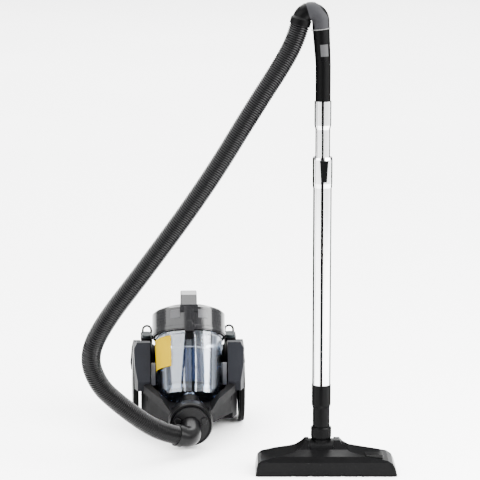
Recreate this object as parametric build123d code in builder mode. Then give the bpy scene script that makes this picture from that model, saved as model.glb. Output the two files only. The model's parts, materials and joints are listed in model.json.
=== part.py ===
from build123d import *
from math import cos, pi, radians, sin, tan
import os

# Canister vacuum cleaner: a wheeled canister with a lift-out cyclone cup, a corrugated hose, and a
# telescopic wand standing upright on its floor head. Millimetres, +Z up, floor at Z = 0, the
# canister's front and the head's front face -Y. Canister pieces are modelled about the middle of
# the rear axle line (Y = 0 there) and moved to their standing place at the end.

# ---------------------------------------------------------------- driving dimensions
WALL = 2.5                      # moulded plastic wall
RUN_GAP = 0.06                  # radial clearance of a pin in its bore
SEAT_GAP = 0.3                  # gap round a moving button or cover

# where the canister stands, and how far it is turned to its left
CANISTER_PLACE = Location((-142.4, 161, 0), (0, 0, 2.2))

# canister casing
BODY_HALF = 97                  # half width of the tub and the upper housing
BODY_REAR = 105
TUB_FRONT = -205
TUB_BOTTOM = 28
FRONT_FLOOR = 40                # raised floor over the caster
FLOOR_STEP = -97                # where the floor steps up
SPLIT_Z = 66                    # joint between tub and upper housing
SHOULDER_FRONT = -104.5         # front of the housing's low shoulder, beside the cup
SHOULDER_TOP = 86
HOUSING_FRONT = -43
BOSS_TOP = 175                  # top of the bosses that the pedals sit in
DECK_FRONT = -222
DECK_REAR = -105
DECK_LOW = (63, 86)             # the visor's lower edge, at its front and its rear
DECK_HIGH = (84, 101)           # its top

# wheels
WHEEL_R = 78
WHEEL_INNER_X = 101.5
WHEEL_W = 13
TYRE_T = 6
AXLE_R = 6
CASTER_Y = -128
CASTER_R = 14
CASTER_TRAIL = 11

# dust cup, on an axis that leans back
LEAN = 27
CUP_BASE_Y = -100
CUP_BASE_Z = 78
CUP_R = 68                      # at the cup's mouth
CUP_LOW_R = 64                  # at its foot
CUP_WALL = 2.5
CUP_H = 115
LID_R = 73.5
LID_H = 48
LID_DOME = 10
LID_TOP_R = 56
WELL_R = 77                     # the casing's well for the cup
WELL_FLOOR = -31
FILTER_R = 43
FILTER_LOW = 18
FILTER_HIGH = 86
PLEATS = 36
STICKER_LOW = 46
STICKER_HIGH = 108
STICKER_ARC = 57
HANDLE_W = 33
HANDLE_TOP = 207

# motor and cord reel, side by side on one line across the casing
DRIVE_Y = 42
DRIVE_Z = 78
MOTOR_R = 45
MOTOR_X = (-38, 52)
REEL_R = 38
REEL_X = (-86, -50)

# foot pedals, and the wire loops behind them
PEDAL_X = 85
PEDAL_Y = 2
PEDAL_W = 19
PEDAL_L = 42
PEDAL_LOW = 166
PEDAL_TOP = 181
BOSS_L = 70
BOSS_W = 24
BOSS_Y = 13
LOOP_Y = 37
LOOP_X = (75.5, 92.5)
LOOP_TOP = 189

# exhaust door and cable outlet, in the rear wall
DOOR_X = 8
DOOR_W = 98
DOOR_Z = (80, 112)
PIN_R = 0.8                     # the door's hinge pins
OUTLET_X = -54
OUTLET_Z = 80

# side wings, which run on as fenders over the rear wheels
WING_IN = 78
FENDER_IN = 98
WING_OUT = 120
WING_HOLLOW = 101               # how far out the hollow inside a wing reaches
ARCH_R = 83
FENDER_R = 88
WING_FRONT = -104.5
WING_CUT = -43.5                # where the wing meets the upper housing

# inlet port and hose elbow
PORT_Z = 50
PORT_R = 36.5
ELBOW_R = 19.5
ELBOW_BORE = 16

# hose
HOSE_R = 18.5
HOSE_BORE = 15.5

# wand
WAND_X = 116.5
WAND_Y = -210
OUTER_R = 17.5
OUTER_BORE = 16.3
OUTER_LOW = 166
COLLAR_LOW = 543
COLLAR_TOP = 600
INNER_R = 14
INNER_BORE = 12.9
INNER_LOW = 250
INNER_NECK = 652                # where the inner tube starts to widen
INNER_TOP = 704.5
SOCKET_R = 16                   # widened end of the inner tube
DETENT_PITCH = 18

# handle
SHAFT_R = 14.2
BEND_X = 93.3                   # centre of the handle's top bend
BEND_Z = 852.7
BEND_R = 18
BEND_TUBE_R = 16.4
BEND_BORE = 12.5
BEND_TURN = 165
RING_START = 108                # the ring that the hose cuff turns in
RING_TURN = 8
CUFF_STRAIGHT = 12
SHAFT_FOOT_Z = 771              # where the shaft starts to lean
PAD_T = 1.2
SLIDER_L = 22
SLIDER_TRAVEL = 8
SLIDER_TURN = 12                # how far the slider sits to the right of the front

# floor head
HEAD_X = WAND_X + 9
HEAD_FRONT = WAND_Y - 56
HEAD_REAR = WAND_Y + 26
HEAD_HALF = 133.5
PIVOT_Z = 32
BARREL_R = 28
BARREL_HALF = 23
COLLAR_END = 64.5               # foot of the collar on the neck
COLLAR_HIGH = 84
SPIGOT_R = 14.2                 # the cuff's spigot, which turns in the neck
SLOT_HALF = BARREL_HALF + 0.4   # the slot that the neck tilts in
CHEEK_T = 3
NECK_SHIFT = WAND_X - HEAD_X
SOLE_T = 3
PEDAL_HOLE = (HEAD_X + 90, WAND_Y - 34)
BRISTLE_Y = (HEAD_FRONT + 12, HEAD_REAR - 6)
BRISTLE_TOP = 7
BRISTLE_LIFT = 3
ROLLER_R = 7
ROLLER_Y = HEAD_REAR - 26

# The hose's route, from the handle's cuff to the elbow's mouth
HOSE_ROUTE = [
    (72.8, -210.0, 845.8),
    (65.5, -210.0, 818.7),
    (42.0, -213.0, 774.0),
    (-8.0, -219.0, 698.0),
    (-98.0, -227.0, 550.0),
    (-218.0, -229.5, 385.0),
    (-292.0, -226.0, 289.0),
    (-324.0, -214.0, 221.0),
    (-306.0, -198.0, 161.0),
    (-268.0, -181.0, 120.0),
    (-220.0, -159.0, 77.0),
    (-187.0, -140.0, 54.0),
    (-160.5, -126.4, 44.0),
]

os.makedirs("parts", exist_ok=True)

# ---------------------------------------------------------------- planes
lean_sin = sin(radians(LEAN))
lean_cos = cos(radians(LEAN))
# The cup's base: sketch x runs across, sketch y runs back and down, and the normal is the cup's axis
cup = Plane(origin=(0, CUP_BASE_Y, CUP_BASE_Z), x_dir=(1, 0, 0), z_dir=(0, lean_sin, lean_cos))
# The cup's middle section, seen from the side: sketch x runs back and down, sketch y up the axis
cup_side = Plane(origin=cup.origin, x_dir=(0, lean_cos, -lean_sin), z_dir=(1, 0, 0))
port = Plane(origin=(0, 0, PORT_Z), x_dir=(1, 0, 0), z_dir=(0, -1, 0))
wand = Plane(origin=(WAND_X, WAND_Y, 0), x_dir=(1, 0, 0), z_dir=(0, 0, 1))
head_end = Plane(origin=(HEAD_X, 0, 0), x_dir=(0, 1, 0), z_dir=(1, 0, 0))
pivot = Plane(origin=(WAND_X, WAND_Y, PIVOT_Z), x_dir=(0, 1, 0), z_dir=(1, 0, 0))


# ---------------------------------------------------------------- shared shapes
def tube(plane, outer_r, inner_r, height):
    """A straight tube that stands on a plane."""
    with BuildPart() as made:
        with BuildSketch(plane):
            Circle(outer_r)
            Circle(inner_r, mode=Mode.SUBTRACT)
        extrude(amount=height)
    return made


def rod(plane, radius, height):
    """A solid round bar that stands on a plane."""
    with BuildPart() as made:
        with BuildSketch(plane):
            Circle(radius)
        extrude(amount=height)
    return made


def turned(plane, points, start=0, turn=360):
    """A closed outline of (radius, height) points, turned about a plane's normal."""
    outward = plane.x_dir.rotate(Axis((0, 0, 0), plane.z_dir), start)
    side = Plane(origin=plane.origin, x_dir=outward, z_dir=outward.cross(plane.z_dir))
    with BuildPart() as made:
        with BuildSketch(side):
            with BuildLine():
                Polyline(*points, close=True)
            make_face()
        revolve(axis=Axis(plane.origin, plane.z_dir), revolution_arc=turn)
    return made


def prism(plane, points, height, corner=0):
    """An outline of straight sides, extruded, with its upright corners rounded."""
    with BuildPart() as made:
        with BuildSketch(plane) as outline:
            with BuildLine():
                Polyline(*points, close=True)
            make_face()
            if corner:
                fillet(outline.vertices(), corner)
        extrude(amount=height)
    return made


def both_sides(points):
    """Mirrors a half outline across the middle, in order round the shape."""
    return points + [(-x, y) for x, y in reversed(points)]


# ---------------------------------------------------------------- canister casing
def well_shape(growth):
    """The space that the cup stands in, chamfered at its foot like the cup's base."""
    return turned(cup, [
        (0, WELL_FLOOR - growth), (42.5 + 0.4 * growth, WELL_FLOOR - growth),
        (68 + 0.8 * growth, -9 - 0.7 * growth), (WELL_R + growth, -0.4 * growth),
        (WELL_R + growth, 400), (0, 400),
    ])


well = well_shape(0)
well_wall = well_shape(WALL)
inlet_line = Plane(
    origin=(0, -204, PORT_Z), x_dir=(1, 0, 0), z_dir=(0, cos(radians(30)), sin(radians(30)))
)
duct_hole = rod(inlet_line.offset(-20), 19.4, 120)
port_hole = rod(port.offset(190), PORT_R + 7.4, 60)


def tub_outline(inset):
    """The tub's half plan from the front corner round to the rear one, moved in by a wall."""
    return both_sides([
        (30 - inset / 2, TUB_FRONT + inset),
        (84 - inset, -104),
        (BODY_HALF - inset, -70),
        (BODY_HALF - inset, 72 - inset / 2),
        (72 - inset / 2, BODY_REAR - inset),
    ])


with BuildPart() as tub_cavity:
    add(prism(Plane.XY.offset(TUB_BOTTOM + WALL), tub_outline(WALL), 100, 8).part)
    with BuildSketch(Plane.XY.offset(0)):
        with Locations((0, FLOOR_STEP - 60)):
            Rectangle(200, 120 + 2 * WALL)
    extrude(amount=FRONT_FLOOR + WALL, mode=Mode.SUBTRACT)
    add(well_wall.part, mode=Mode.SUBTRACT)

with BuildPart() as base_tub:
    add(prism(Plane.XY.offset(TUB_BOTTOM), tub_outline(0), SPLIT_Z - TUB_BOTTOM, 10).part)
    with BuildSketch(Plane.XY):
        with Locations((0, FLOOR_STEP - 60)):
            Rectangle(200, 120)
    extrude(amount=FRONT_FLOOR, mode=Mode.SUBTRACT)
    add(tub_cavity.part, mode=Mode.SUBTRACT)
    add(rod(Plane.XY.offset(FRONT_FLOOR).move(Location((0, CASTER_Y, 0))), 9, 16).part)
    add(well.part, mode=Mode.SUBTRACT)
    add(duct_hole.part, mode=Mode.SUBTRACT)
    add(port_hole.part, mode=Mode.SUBTRACT)
    with BuildSketch(Plane.XY.offset(FRONT_FLOOR)):
        with Locations((0, CASTER_Y)):
            Circle(5 + RUN_GAP)
    extrude(amount=14, mode=Mode.SUBTRACT)
base_tub.part.label = "base_tub"


def housing_block(inset, low):
    """The upper housing: a low shoulder in front, then a roof that slopes down to the rear."""
    plan = both_sides([
        (84 - inset, SHOULDER_FRONT + inset),
        (BODY_HALF - inset, -70),
        (BODY_HALF - inset, 72 - inset / 2),
        (72 - inset / 2, BODY_REAR - inset),
    ])
    side = [
        (SHOULDER_FRONT - 10, low), (SHOULDER_FRONT - 10, SHOULDER_TOP - inset),
        (HOUSING_FRONT + inset, SHOULDER_TOP - inset), (HOUSING_FRONT + inset, 174 - 1.4 * inset),
        (22, 141 - inset), (50, 134 - inset), (BODY_REAR + 10, 115 - inset), (BODY_REAR + 10, low),
    ]
    with BuildPart() as made:
        add(prism(Plane.XY, plan, 200, 10).part)
        add(prism(Plane.YZ.offset(-120), side, 240).part, mode=Mode.INTERSECT)
    return made


with BuildPart() as housing_cavity:
    add(housing_block(WALL, 0).part)
    add(well_wall.part, mode=Mode.SUBTRACT)

door_hinge = Plane(
    origin=(DOOR_X, BODY_REAR - WALL / 2, DOOR_Z[0] + SEAT_GAP + WALL / 2), x_dir=(0, 1, 0),
    z_dir=(1, 0, 0),
)

with BuildPart() as upper_housing:
    add(housing_block(0, SPLIT_Z).part)
    add(housing_cavity.part, mode=Mode.SUBTRACT)
    with BuildSketch(Plane.XY.offset(120)):
        with Locations((PEDAL_X, BOSS_Y), (-PEDAL_X, BOSS_Y)):
            SlotOverall(BOSS_L, BOSS_W, rotation=90)
    extrude(amount=BOSS_TOP - 120)
    add(well.part, mode=Mode.SUBTRACT)
    with BuildSketch(Plane.XY.offset(SHOULDER_TOP)):
        with Locations((PEDAL_X, PEDAL_Y), (-PEDAL_X, PEDAL_Y)):
            SlotOverall(PEDAL_L + 2 * SEAT_GAP, PEDAL_W + 2 * SEAT_GAP, rotation=90)
    extrude(amount=100, mode=Mode.SUBTRACT)
    with BuildSketch(Plane.XZ.offset(-BODY_REAR - 1)):
        with Locations((DOOR_X, sum(DOOR_Z) / 2)):
            Rectangle(DOOR_W, DOOR_Z[1] - DOOR_Z[0])
        with Locations((OUTLET_X, OUTLET_Z)):
            Circle(9)
    extrude(amount=WALL + 3, mode=Mode.SUBTRACT)
    add(rod(door_hinge.offset(-DOOR_W / 2 - 2), PIN_R + RUN_GAP, DOOR_W + 4).part, mode=Mode.SUBTRACT)
    with BuildSketch(Plane.YZ.offset(-BODY_HALF - 1)):
        with Locations((0, WHEEL_R)):
            Circle(AXLE_R)
    extrude(amount=2 * BODY_HALF + 2, mode=Mode.SUBTRACT)
upper_housing.part.label = "upper_housing"

# The front deck: a wide visor whose lower edge rises to the rear, over a narrower skirt

def deck_outline(inset):
    return both_sides([(38 - inset / 2, DECK_FRONT + inset), (95 - inset, DECK_REAR)])


def slab(front, rear, height):
    """A block whose underside slopes from one height at the deck's front to another at its rear."""
    rise = (rear - front) / (DECK_REAR - DECK_FRONT)
    low = front - 20 * rise
    high = rear + 20 * rise
    return prism(
        Plane.YZ.offset(-120),
        [(DECK_FRONT - 20, low), (DECK_REAR + 20, high), (DECK_REAR + 20, high + height),
         (DECK_FRONT - 20, low + height)],
        240,
    )


above_visor = slab(DECK_LOW[0], DECK_LOW[1], 100)
above_deck = slab(DECK_HIGH[0], DECK_HIGH[1], 100)
above_ceiling = slab(DECK_HIGH[0] - WALL, DECK_HIGH[1] - WALL, 100)



def saddle(growth):
    """The dip in the deck above the port, which the foot of the cup shows through."""
    return prism(
        Plane.XZ.offset(110),
        both_sides([(41 + 0.4 * growth, 74 - growth), (64 + growth, 97 - growth),
                    (64 + growth, 130)]),
        130,
    )


with BuildPart() as deck_cavity:
    add(prism(Plane.XY.offset(SPLIT_Z - 1), tub_outline(WALL), 60, 8).part)
    add(above_ceiling.part, mode=Mode.SUBTRACT)
    add(well_wall.part, mode=Mode.SUBTRACT)
    add(saddle(WALL).part, mode=Mode.SUBTRACT)

with BuildPart() as skirt:
    add(prism(Plane.XY.offset(SPLIT_Z), tub_outline(0), 60, 10).part)
    with BuildSketch(Plane.XY.offset(SPLIT_Z)):
        with Locations((0, DECK_REAR + 120)):
            Rectangle(300, 240)
    extrude(amount=80, mode=Mode.SUBTRACT)

with BuildPart() as front_deck:
    add(prism(Plane.XY.offset(60), deck_outline(0), 80, 6).part)
    add(above_visor.part, mode=Mode.INTERSECT)
    add(skirt.part)
    add(above_deck.part, mode=Mode.SUBTRACT)
    add(deck_cavity.part, mode=Mode.SUBTRACT)
    add(saddle(0).part, mode=Mode.SUBTRACT)
    add(well.part, mode=Mode.SUBTRACT)
    add(duct_hole.part, mode=Mode.SUBTRACT)
    add(port_hole.part, mode=Mode.SUBTRACT)
front_deck.part.label = "front_deck"

# Side wings: fairings beside the cup that run on as fenders over the rear wheels
wing_side = [
    (WING_FRONT, 86.5), (WING_FRONT, 105), (-62, 176), (WING_CUT, 176), (-25, 168), (0, 164),
    (0, 86.5),
]


def wing_block(x_low, x_high, inset, front_only):
    """The wing's side profile between two distances from the middle, moved in by a wall."""
    with BuildPart() as made:
        with BuildSketch(Plane.YZ.offset(x_low)):
            with BuildLine():
                Polyline(*wing_side, close=True)
            make_face()
            if inset:
                offset(amount=-inset, mode=Mode.REPLACE)
            with Locations((0, WHEEL_R)):
                Circle(FENDER_R - inset)
            with Locations((0, 86.5 + inset + 100)):
                Rectangle(400, 200, mode=Mode.INTERSECT)
            with Locations((0, WHEEL_R)):
                Circle(ARCH_R + inset, mode=Mode.SUBTRACT)
            if front_only:
                with Locations((WING_CUT - 100, 130)):
                    Rectangle(200, 200, mode=Mode.INTERSECT)
        extrude(amount=x_high - x_low)
    return made


with BuildPart() as side_wing_right:
    add(wing_block(FENDER_IN, WING_OUT, 0, False).part)
    add(wing_block(WING_IN, FENDER_IN, 0, True).part)
    add(prism(Plane.XZ.offset(-200), [
        (60, 60), (WING_OUT, 60), (WING_OUT, 95), (118, 113), (116, 138), (112, 163), (107, 171),
        (104, 177), (60, 177),
    ], 400).part, mode=Mode.INTERSECT)
    add(prism(Plane.XY, [
        (60, -110), (100, -110), (103, WING_FRONT), (109.5, -84), (112, WING_CUT), (WING_OUT, 20),
        (WING_OUT, 78), (110, 95), (60, 95),
    ], 200).part, mode=Mode.INTERSECT)
    add(wing_block(FENDER_IN - 1, WING_HOLLOW, WALL, True).part, mode=Mode.SUBTRACT)
    add(wing_block(WING_IN + WALL, FENDER_IN, WALL, True).part, mode=Mode.SUBTRACT)
side_wing_right.part.label = "side_wing_right"

with BuildPart() as side_wing_left:
    mirror(side_wing_right.part, about=Plane.YZ)
side_wing_left.part.label = "side_wing_left"

# Small arched loops on the shoulders, behind the pedals
with BuildPart() as shoulder_loops:
    for side in (-1, 1):
        near = side * LOOP_X[0]
        far = side * LOOP_X[1]
        shoulder = LOOP_TOP - (LOOP_X[1] - LOOP_X[0]) / 2
        with BuildLine() as loop_path:
            Line((near, LOOP_Y, BOSS_TOP), (near, LOOP_Y, shoulder))
            ThreePointArc(
                (near, LOOP_Y, shoulder), ((near + far) / 2, LOOP_Y, LOOP_TOP),
                (far, LOOP_Y, shoulder),
            )
            Line((far, LOOP_Y, shoulder), (far, LOOP_Y, BOSS_TOP))
        with BuildSketch(Plane.XY.offset(BOSS_TOP)):
            with Locations((near, LOOP_Y)):
                Circle(2.2)
        sweep(path=loop_path.line)
shoulder_loops.part.label = "shoulder_loops"

# ---------------------------------------------------------------- inlet port and elbow
port_collar = turned(port.offset(204), [
    (PORT_R, 0), (PORT_R + 7, 0), (PORT_R + 7, 24), (PORT_R + 4.5, 30), (PORT_R, 30),
])
port_collar.part.label = "port_collar"

with BuildPart() as inlet_duct:
    with BuildSketch(port.offset(204)):
        Circle(PORT_R - 0.1)
    extrude(amount=4)
    with BuildSketch(port.offset(204)):
        Circle(25)
    extrude(amount=28)
    with BuildSketch(inlet_line):
        Circle(19)
    extrude(amount=80)
    with BuildSketch(inlet_line):
        Circle(16)
    extrude(amount=90, mode=Mode.SUBTRACT)
    with BuildSketch(port.offset(208)):
        Circle(20.6)
    extrude(amount=30, mode=Mode.SUBTRACT)
    with BuildSketch(port.offset(194)):
        Circle(15)
    extrude(amount=20, mode=Mode.SUBTRACT)
    add(well_shape(WALL - 0.5).part, mode=Mode.SUBTRACT)
inlet_duct.part.label = "inlet_duct"

# The elbow's plate closes the port and its spigot goes into the duct
hose_end = Vector(*HOSE_ROUTE[-1])
hose_in = (hose_end - Vector(*HOSE_ROUTE[-2])).normalized()


def on_canister(point):
    """A point of the standing machine, in the canister's own frame."""
    return (CANISTER_PLACE.inverse() * Location(point)).position


elbow_mouth = on_canister(hose_end)
elbow_corner = on_canister(hose_end + hose_in * 35)
with BuildLine() as elbow_path:
    FilletPolyline((0, -236, PORT_Z), elbow_corner, elbow_mouth, radius=22)
elbow_root = Plane(origin=elbow_path.line @ 0, z_dir=elbow_path.line % 0)
elbow_in = (elbow_mouth - elbow_corner).normalized()
mouth = Plane(origin=elbow_mouth, z_dir=-elbow_in)

with BuildPart() as hose_elbow:
    with BuildSketch(port.offset(234.4)):
        Circle(PORT_R - 0.3)
    extrude(amount=5.6)
    with BuildSketch(port.offset(209)):
        Circle(20.3)
    extrude(amount=27)
    with BuildSketch(elbow_root):
        Circle(ELBOW_R)
    sweep(path=elbow_path.line)
    with BuildSketch(mouth):
        Circle(ELBOW_R + 2)
    extrude(amount=12)
    with BuildSketch(elbow_root):
        Circle(ELBOW_BORE)
    sweep(path=elbow_path.line, mode=Mode.SUBTRACT)
    with BuildSketch(port.offset(208)):
        Circle(ELBOW_BORE)
    extrude(amount=30, mode=Mode.SUBTRACT)
hose_elbow.part.label = "hose_elbow"


def elbow_button(side):
    """A wing-shaped release button beside the elbow's root."""
    with BuildPart() as made:
        with BuildSketch(port.offset(240 + SEAT_GAP)):
            with BuildLine():
                Polyline(
                    (side * 22, 2), (side * 30, 4), (side * 32, 12), (side * 27, 17),
                    (side * 19.5, 13), close=True,
                )
            make_face()
        extrude(amount=5)
        fillet(made.edges().group_by(Axis.Y)[0], 1.2)
    return made


elbow_button_right = elbow_button(1)
elbow_button_right.part.label = "elbow_button_right"
elbow_button_left = elbow_button(-1)
elbow_button_left.part.label = "elbow_button_left"

# ---------------------------------------------------------------- dust cup
dust_cup = turned(cup, [
    (CUP_LOW_R - CUP_WALL, 0), (CUP_LOW_R, 0), (CUP_R, CUP_H - 6), (CUP_R + 1.5, CUP_H - 4),
    (CUP_R + 1.5, CUP_H), (CUP_R - CUP_WALL, CUP_H),
])
dust_cup.part.label = "dust_cup"

with BuildPart() as cup_base:
    add(turned(cup, [
        (0, -28), (40, -28), (CUP_LOW_R, -8), (CUP_LOW_R, 0), (CUP_LOW_R - CUP_WALL - 0.2, 0),
        (CUP_LOW_R - CUP_WALL - 0.2, 8), (CUP_LOW_R - 2 * CUP_WALL, 8),
        (CUP_LOW_R - 2 * CUP_WALL, -7), (38.5, -25), (0, -25),
    ]).part)
    add(rod(inlet_line, 15.5, 110).part, mode=Mode.SUBTRACT)
cup_base.part.label = "cup_base"

cup_seal = turned(cup.offset(CUP_H), [
    (CUP_R - CUP_WALL, 0), (CUP_R + 1, 0), (CUP_R + 1, 2), (CUP_R - CUP_WALL, 2),
])
cup_seal.part.label = "cup_seal"

LID_LOW = CUP_H + 2
LID_HIGH = LID_LOW + LID_H - 2
BUTTON_H = LID_LOW + 10         # the latch button's height on the lid
lid_solid = turned(cup, [
    (0, LID_LOW), (LID_R, LID_LOW), (LID_R, LID_HIGH), (LID_R - 4, LID_HIGH + 4),
    (LID_TOP_R, LID_HIGH + LID_DOME), (0, LID_HIGH + LID_DOME),
])
front_face = Plane(
    origin=cup.origin + cup.z_dir * BUTTON_H, x_dir=(1, 0, 0), z_dir=(0, -lean_cos, lean_sin)
)

with BuildPart() as cup_lid:
    add(lid_solid.part)
    add(turned(cup, [
        (0, LID_LOW - 1), (66, LID_LOW - 1), (66, LID_LOW + WALL), (LID_R - WALL, LID_LOW + WALL),
        (LID_R - WALL, LID_HIGH - 1),
        (LID_TOP_R - 2, LID_HIGH + LID_DOME - WALL), (0, LID_HIGH + LID_DOME - WALL),
    ]).part, mode=Mode.SUBTRACT)
    with BuildSketch(front_face.offset(60)):
        Circle(7 + SEAT_GAP)
    extrude(amount=20, mode=Mode.SUBTRACT)
cup_lid.part.label = "cup_lid"

# The carry handle arches over the lid from front to back; a strip runs down the lid's front from it
with BuildPart() as carry_handle:
    with BuildSketch(cup_side.offset(-HANDLE_W / 2)) as arch:
        with BuildLine():
            Polyline(
                (-62, LID_HIGH), (-52, HANDLE_TOP - 14), (-34, HANDLE_TOP), (30, HANDLE_TOP),
                (50, HANDLE_TOP - 18), (56, LID_HIGH), (40, LID_HIGH),
                (34, HANDLE_TOP - 20), (20, HANDLE_TOP - 13), (-26, HANDLE_TOP - 13),
                (-36, HANDLE_TOP - 22), (-44, LID_HIGH), close=True,
            )
        make_face()
        fillet(arch.vertices().group_by(Axis.Y)[-1], 6)
    extrude(amount=HANDLE_W)
    fillet(carry_handle.edges().filter_by(GeomType.LINE).group_by(Axis.X)[0], 3)
    fillet(carry_handle.edges().filter_by(GeomType.LINE).group_by(Axis.X)[-1], 3)
    with BuildSketch(cup.offset(LID_HIGH - 11)):
        with Locations((0, -64)):
            Rectangle(36, 22)
    extrude(amount=14)
    with BuildSketch(cup.offset(LID_LOW - 5)):
        Circle(LID_R + 3)
        Circle(LID_R + 0.05, mode=Mode.SUBTRACT)
        with Locations((0, -LID_R)):
            Rectangle(19, 14, mode=Mode.INTERSECT)
    extrude(amount=LID_H + 3)
    add(lid_solid.part, mode=Mode.SUBTRACT)
    with BuildSketch(front_face.offset(60)):
        Circle(7 + SEAT_GAP)
    extrude(amount=20, mode=Mode.SUBTRACT)
carry_handle.part.label = "carry_handle"

with BuildPart() as lid_button:
    with BuildSketch(front_face.offset(LID_R - 2)):
        Circle(7)
    extrude(amount=6.5)
    fillet(lid_button.faces().sort_by(Axis((0, 0, 0), front_face.z_dir))[-1].edges(), 1)
lid_button.part.label = "lid_button"

# The blue pleated cartridge, between two end discs, under a slotted shroud that hangs from the lid
with BuildPart() as cyclone_filter:
    with BuildSketch(cup.offset(FILTER_LOW)):
        with BuildLine():
            Polyline(*[
                (radius * cos(radians(angle)), radius * sin(radians(angle)))
                for step in range(PLEATS)
                for radius, angle in (
                    (FILTER_R, step * 360 / PLEATS),
                    (FILTER_R - 5, (step + 0.5) * 360 / PLEATS),
                )
            ], close=True)
        make_face()
        Circle(FILTER_R - 8, mode=Mode.SUBTRACT)
    extrude(amount=FILTER_HIGH - FILTER_LOW)
cyclone_filter.part.label = "cyclone_filter"

filter_foot = turned(cup.offset(FILTER_LOW), [
    (0, -FILTER_LOW - 24.95), (20, -FILTER_LOW - 24.95), (11, -30), (11, -8), (28, -6),
    (FILTER_R + 1, -3), (FILTER_R + 1, 0), (0, 0),
])
filter_foot.part.label = "filter_foot"

with BuildPart() as filter_shroud:
    add(turned(cup.offset(FILTER_HIGH), [
        (30, 0), (FILTER_R + 1, 0), (FILTER_R + 1, 3), (34, 3), (34, 55), (30, 55),
    ]).part)
    with BuildSketch(cup.offset(FILTER_HIGH + 8)):
        with PolarLocations(32, 12):
            Rectangle(12, 5)
    extrude(amount=18, mode=Mode.SUBTRACT)
filter_shroud.part.label = "filter_shroud"

foam_filter = tube(cup.offset(LID_LOW + 14), 60, 34.3, 18)
foam_filter.part.label = "foam_filter"

# A blank sticker wrapped round the cup's left side
def cup_radius(height):
    """The cup's outer radius at a height, below its rim."""
    return CUP_LOW_R + (CUP_R - CUP_LOW_R) * height / (CUP_H - 6)


cup_sticker = turned(cup, [
    (cup_radius(STICKER_LOW) + 0.05, STICKER_LOW), (cup_radius(STICKER_LOW) + 0.45, STICKER_LOW),
    (cup_radius(STICKER_HIGH) + 0.45, STICKER_HIGH), (cup_radius(STICKER_HIGH) + 0.05, STICKER_HIGH),
], -180, STICKER_ARC)
cup_sticker.part.label = "cup_sticker"

# ---------------------------------------------------------------- motor, reel and exhaust
across = Plane(origin=(0, DRIVE_Y, DRIVE_Z), x_dir=(0, 1, 0), z_dir=(1, 0, 0))

with BuildPart() as motor_can:
    add(tube(across.offset(MOTOR_X[0]), MOTOR_R, MOTOR_R - WALL, MOTOR_X[1] - MOTOR_X[0]).part)
    for low in (MOTOR_X[0], MOTOR_X[1] - WALL):
        add(tube(across.offset(low), MOTOR_R - 1, 5 + RUN_GAP, WALL).part)
    with BuildSketch(across.offset(MOTOR_X[1] - 3)):
        with PolarLocations(25, 8):
            Circle(6)
    extrude(amount=6, mode=Mode.SUBTRACT)
motor_can.part.label = "motor_can"

with BuildPart() as motor_rotor:
    add(rod(across.offset(MOTOR_X[0] - 6), 5, MOTOR_X[1] - MOTOR_X[0] + 4).part)
    add(rod(across.offset(MOTOR_X[0] + 14), 26, 40).part)
motor_rotor.part.label = "motor_rotor"

with BuildPart() as motor_fan:
    add(tube(across.offset(32), 38, 5.05, 2).part)
    add(tube(across.offset(34), 10, 5.05, 10).part)
    with BuildSketch(across.offset(34)):
        with PolarLocations(23.5, 9):
            Rectangle(28, 1.6, rotation=25)
    extrude(amount=10)
motor_fan.part.label = "motor_fan"

hepa_filter = prism(
    Plane.XY.offset(DOOR_Z[0] + 3),
    [(DOOR_X - 44, 88), (DOOR_X + 44, 88), (DOOR_X + 44, 100), (DOOR_X - 44, 100)],
    DOOR_Z[1] - DOOR_Z[0] - 6, 2,
)
hepa_filter.part.label = "hepa_filter"

with BuildPart() as exhaust_door:
    with BuildSketch(Plane.XZ.offset(-BODY_REAR)):
        with Locations((DOOR_X, (door_hinge.origin.Z + DOOR_Z[1] - SEAT_GAP) / 2)):
            Rectangle(DOOR_W - 2 * SEAT_GAP, DOOR_Z[1] - SEAT_GAP - door_hinge.origin.Z)
            with GridLocations(0, 6.2, 1, 4):
                SlotOverall(DOOR_W - 18, 3, mode=Mode.SUBTRACT)
    extrude(amount=WALL)
    add(rod(door_hinge.offset(SEAT_GAP - DOOR_W / 2), WALL / 2, DOOR_W - 2 * SEAT_GAP).part)
    add(rod(door_hinge.offset(-DOOR_W / 2 - 1.8), PIN_R, DOOR_W + 3.6).part)
exhaust_door.part.label = "exhaust_door"

with BuildPart() as cord_reel:
    for low in (REEL_X[0], REEL_X[1] - 2):
        add(tube(across.offset(low), REEL_R, AXLE_R + RUN_GAP, 2).part)
    add(tube(across.offset(REEL_X[0] + 1), 18, AXLE_R + RUN_GAP, REEL_X[1] - REEL_X[0] - 2).part)
cord_reel.part.label = "cord_reel"

with BuildPart() as reel_axle:
    add(rod(across.offset(-BODY_HALF + WALL + 0.1), AXLE_R, 44).part)
reel_axle.part.label = "reel_axle"

cord_outlet = turned(Plane(origin=(OUTLET_X, BODY_REAR, OUTLET_Z), z_dir=(0, 1, 0)), [
    (5, -6), (8.9, -6), (8.9, 0.1), (11, 0.1), (10, 3), (7, 3), (5, 1),
])
cord_outlet.part.label = "cord_outlet"


def pedal(side):
    """An oval foot pedal in its boss, on a stem that reaches down to what it works."""
    with BuildPart() as made:
        with BuildSketch(Plane.XY.offset(PEDAL_LOW)):
            with Locations((side * PEDAL_X, PEDAL_Y)):
                SlotOverall(PEDAL_L, PEDAL_W, rotation=90)
        extrude(amount=PEDAL_TOP - PEDAL_LOW)
        fillet(made.faces().sort_by(Axis.Z)[-1].edges(), 3)
        with BuildSketch(Plane.XY.offset(PEDAL_LOW)):
            with Locations((side * PEDAL_X, PEDAL_Y)):
                Circle(3)
        extrude(amount=-21.9)
    return made


power_pedal = pedal(1)
power_pedal.part.label = "power_pedal"
rewind_pedal = pedal(-1)
rewind_pedal.part.label = "rewind_pedal"

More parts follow.
